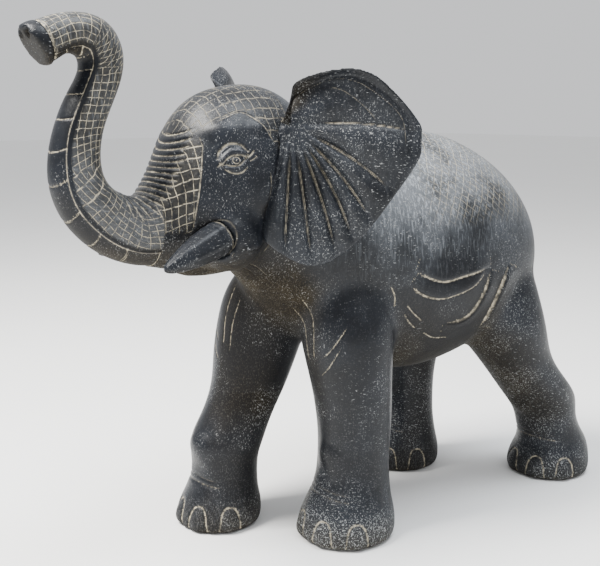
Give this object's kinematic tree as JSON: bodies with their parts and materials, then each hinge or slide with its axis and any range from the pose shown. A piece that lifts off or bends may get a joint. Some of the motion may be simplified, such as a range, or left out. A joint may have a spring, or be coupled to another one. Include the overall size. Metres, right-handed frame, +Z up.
{
  "type": "carved wooden elephant",
  "caption": "Carved wooden elephant statuette with a raised trunk, standing in mid stride, glued and dowelled from shaped blocks of wood.",
  "frame": {"origin": "on the ground, under the middle of the whole elephant's bounding box", "axes": "+Z up, the elephant faces -Y, its left side is +X"},
  "size_m": [0.2678, 0.6292, 0.4856],
  "materials": {
    "carved_wood": "near-black stain under wax, pale lime wax left in the carved lines",
    "dowel_wood": "plain beech dowel"
  },
  "bodies": {
    "root": {"ear_left": "carved_wood", "ear_left_dowels": "dowel_wood", "ear_right": "carved_wood", "ear_right_dowels": "dowel_wood", "head_block": "carved_wood", "leg_front_left": "carved_wood", "leg_front_left_dowels": "dowel_wood", "leg_front_right": "carved_wood", "leg_front_right_dowels": "dowel_wood", "leg_rear_left": "carved_wood", "leg_rear_left_dowels": "dowel_wood", "leg_rear_right": "carved_wood", "leg_rear_right_dowels": "dowel_wood", "neck_dowels": "dowel_wood", "tail": "carved_wood", "torso_block": "carved_wood", "trunk_root": "carved_wood", "trunk_root_dowels": "dowel_wood", "trunk_tip": "carved_wood", "trunk_tip_dowels": "dowel_wood", "trunk_upper": "carved_wood", "trunk_upper_dowels": "dowel_wood", "tusk_left": "carved_wood", "tusk_right": "carved_wood"}
  },
  "joints": []
}
